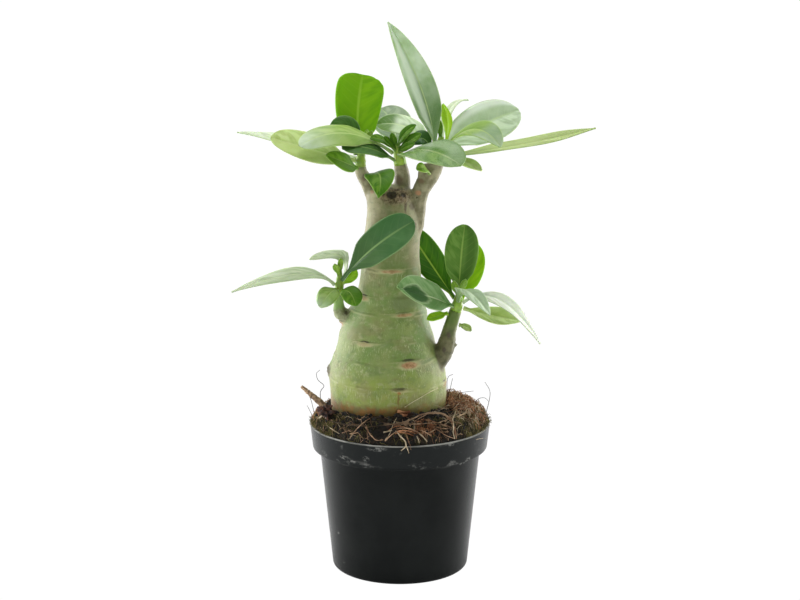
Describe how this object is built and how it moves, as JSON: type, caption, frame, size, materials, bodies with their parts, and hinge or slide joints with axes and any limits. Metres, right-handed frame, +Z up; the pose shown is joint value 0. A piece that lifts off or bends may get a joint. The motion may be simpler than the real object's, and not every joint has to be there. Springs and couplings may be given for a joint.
{
  "type": "potted desert rose plant",
  "caption": "Swollen-trunked succulent with leafy shoots at its crown and sides, rooted in soil in a black collared nursery pot that stands on its flat base.",
  "frame": {"origin": "centre of the pot's flat underside, where the plant stands", "axes": "+Z up out of the pot, -Y towards the front of the pictured view, +X to its right"},
  "size_m": [0.2047, 0.1081, 0.3195],
  "materials": {
    "black_plastic": "satin, with chalky scuffs on the collar",
    "soil": "matte, coarse and fibrous",
    "root": "matte, fibrous",
    "bark": "matte, cracked",
    "caudex": "satin skin with leaf scars",
    "shoot_green": "satin, fresh growth",
    "leaf_bright": "waxy, backlit yellow-green",
    "leaf_mid": "waxy mid green",
    "leaf_dark": "waxy dark green",
    "leaf_pale": "waxy, with a pale sheen"
  },
  "bodies": {
    "root": {"pot": "black_plastic", "soil": "soil", "surface_roots": "root", "bark_stick": "bark", "bark_chunk": "bark", "caudex": "caudex", "crown_left_tip": "shoot_green", "crown_middle_tip": "shoot_green", "crown_right_tip": "shoot_green", "left_shoot_tip": "shoot_green", "right_shoot_tip": "shoot_green", "crown_left_leaf_upright": "leaf_bright", "crown_left_leaf_arched": "leaf_dark", "crown_left_leaf_broad": "leaf_bright", "crown_left_leaf_small": "leaf_dark", "crown_left_leaf_long": "leaf_pale", "crown_left_leaf_hanging": "leaf_mid", "crown_middle_leaf_left": "leaf_pale", "crown_middle_leaf_under": "leaf_dark", "crown_middle_leaf_front": "leaf_mid", "crown_middle_leaf_back": "leaf_pale", "crown_right_leaf_tall": "leaf_mid", "crown_right_leaf_bright": "leaf_bright", "crown_right_leaf_inward": "leaf_pale", "crown_right_leaf_broad": "leaf_mid", "crown_right_leaf_curled": "leaf_bright", "crown_right_leaf_long": "leaf_bright", "crown_right_leaf_edge": "leaf_pale", "crown_right_leaf_small": "leaf_pale", "crown_right_leaf_dark": "leaf_dark", "crown_right_leaf_low": "leaf_bright", "left_shoot_leaf_big": "leaf_dark", "left_shoot_leaf_long": "leaf_pale", "left_shoot_leaf_folded": "leaf_pale", "left_shoot_leaf_round_left": "leaf_mid", "left_shoot_leaf_round_right": "leaf_mid", "left_shoot_leaf_back": "leaf_bright", "right_shoot_leaf_upright": "leaf_mid", "right_shoot_leaf_behind": "leaf_dark", "right_shoot_leaf_backlit": "leaf_bright", "right_shoot_leaf_cupped": "leaf_mid", "right_shoot_leaf_white": "leaf_pale", "right_shoot_leaf_arching": "leaf_pale", "right_shoot_leaf_level": "leaf_bright", "right_shoot_leaf_tucked": "leaf_bright", "right_shoot_leaf_oval": "leaf_bright"}
  },
  "joints": []
}
